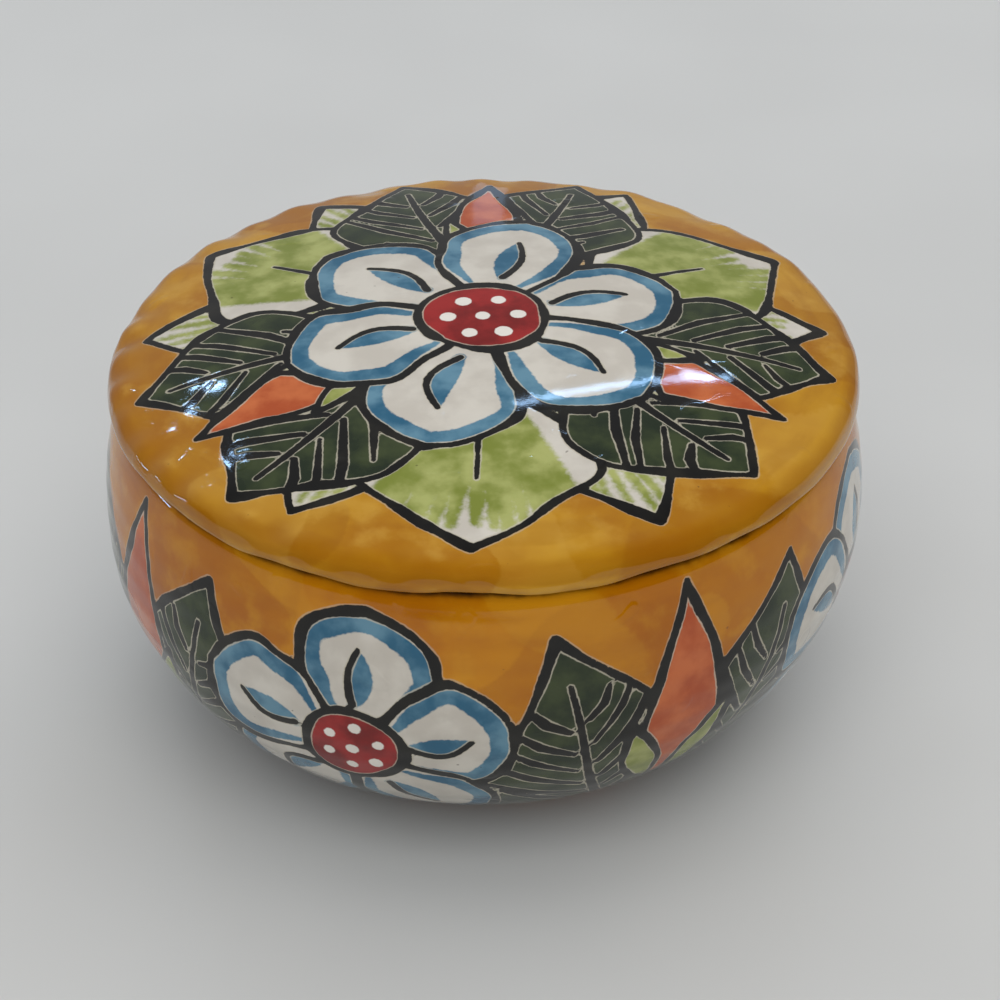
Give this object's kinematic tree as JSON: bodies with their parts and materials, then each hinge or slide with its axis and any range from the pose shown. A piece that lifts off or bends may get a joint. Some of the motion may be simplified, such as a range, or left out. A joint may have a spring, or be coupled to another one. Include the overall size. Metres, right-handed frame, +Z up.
{
  "type": "trinket box",
  "caption": "Round, squat glazed ceramic keepsake box: a rounded bowl on a low foot ring, and a loose, gently domed lid with a finger-crimped rim and a flange that seats in the bowl's mouth.",
  "frame": {"origin": "middle of the foot ring's flat underside, on the surface that the box stands on", "axes": "+Z up along the axis of the bowl and the lid; -Y points out of the front, the side that the picture shows"},
  "size_m": [0.1548, 0.1548, 0.0896],
  "materials": {
    "bowl_glaze": "glossy clear glaze over painted ochre, with an unglazed foot",
    "lid_glaze": "glossy clear glaze over painted ochre"
  },
  "bodies": {
    "bowl": {"bowl": "bowl_glaze"},
    "lid": {"lid": "lid_glaze"}
  },
  "joints": [
    {"name": "lid_lift", "type": "slide", "parent": "bowl", "child": "lid", "axis": [0, 0, 1], "range_m": [0, 0.08]}
  ]
}
